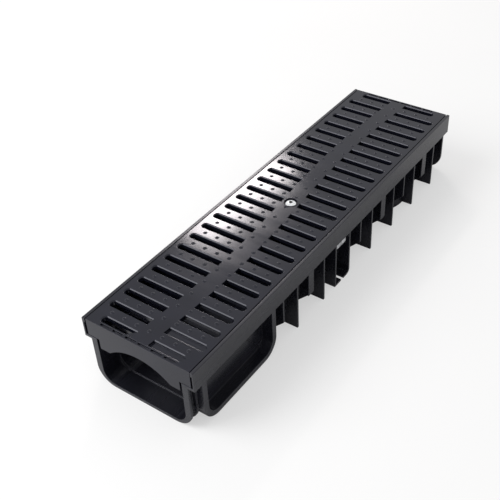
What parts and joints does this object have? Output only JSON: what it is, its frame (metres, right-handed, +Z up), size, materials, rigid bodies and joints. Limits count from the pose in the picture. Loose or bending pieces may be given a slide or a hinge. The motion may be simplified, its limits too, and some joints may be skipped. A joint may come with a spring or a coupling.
{
  "type": "drainage channel with slotted grate",
  "caption": "Plastic surface drainage channel: ribbed U-shaped trough with break-out side branches, and a slotted grate held by a screw in a steel cross-bar.",
  "frame": {"origin": "middle of the footprint, at the ground under the ribs and end rims", "axes": "+Z up, +Y along the channel away from the end with the side branches, +X across the channel"},
  "size_m": [0.13, 0.5, 0.0785],
  "materials": {
    "body_plastic": "black moulded polypropylene, fine satin grain",
    "grate_plastic": "black moulded plastic, satin to half gloss",
    "zinc_steel": "galvanised",
    "screw_steel": "bright zinc plated"
  },
  "bodies": {
    "channel": {"channel_body": "body_plastic", "grate": "grate_plastic", "locking_bar": "zinc_steel"},
    "washer": {"screw_washer": "screw_steel"},
    "screw": {"lock_screw": "screw_steel"}
  },
  "joints": [
    {"name": "screw_turn", "type": "hinge", "parent": "channel", "child": "washer", "pos_m": [0, 0, 0.074], "axis": [0, 0, 1], "range_deg": [0, 3600]},
    {"name": "screw_rise", "type": "slide", "parent": "washer", "child": "screw", "axis": [0, 0, 1], "range_m": [0, 0.01]}
  ],
  "couplings": [
    {"joint": "screw_rise", "follows": "screw_turn", "m_per_rad": 0.00015915}
  ]
}
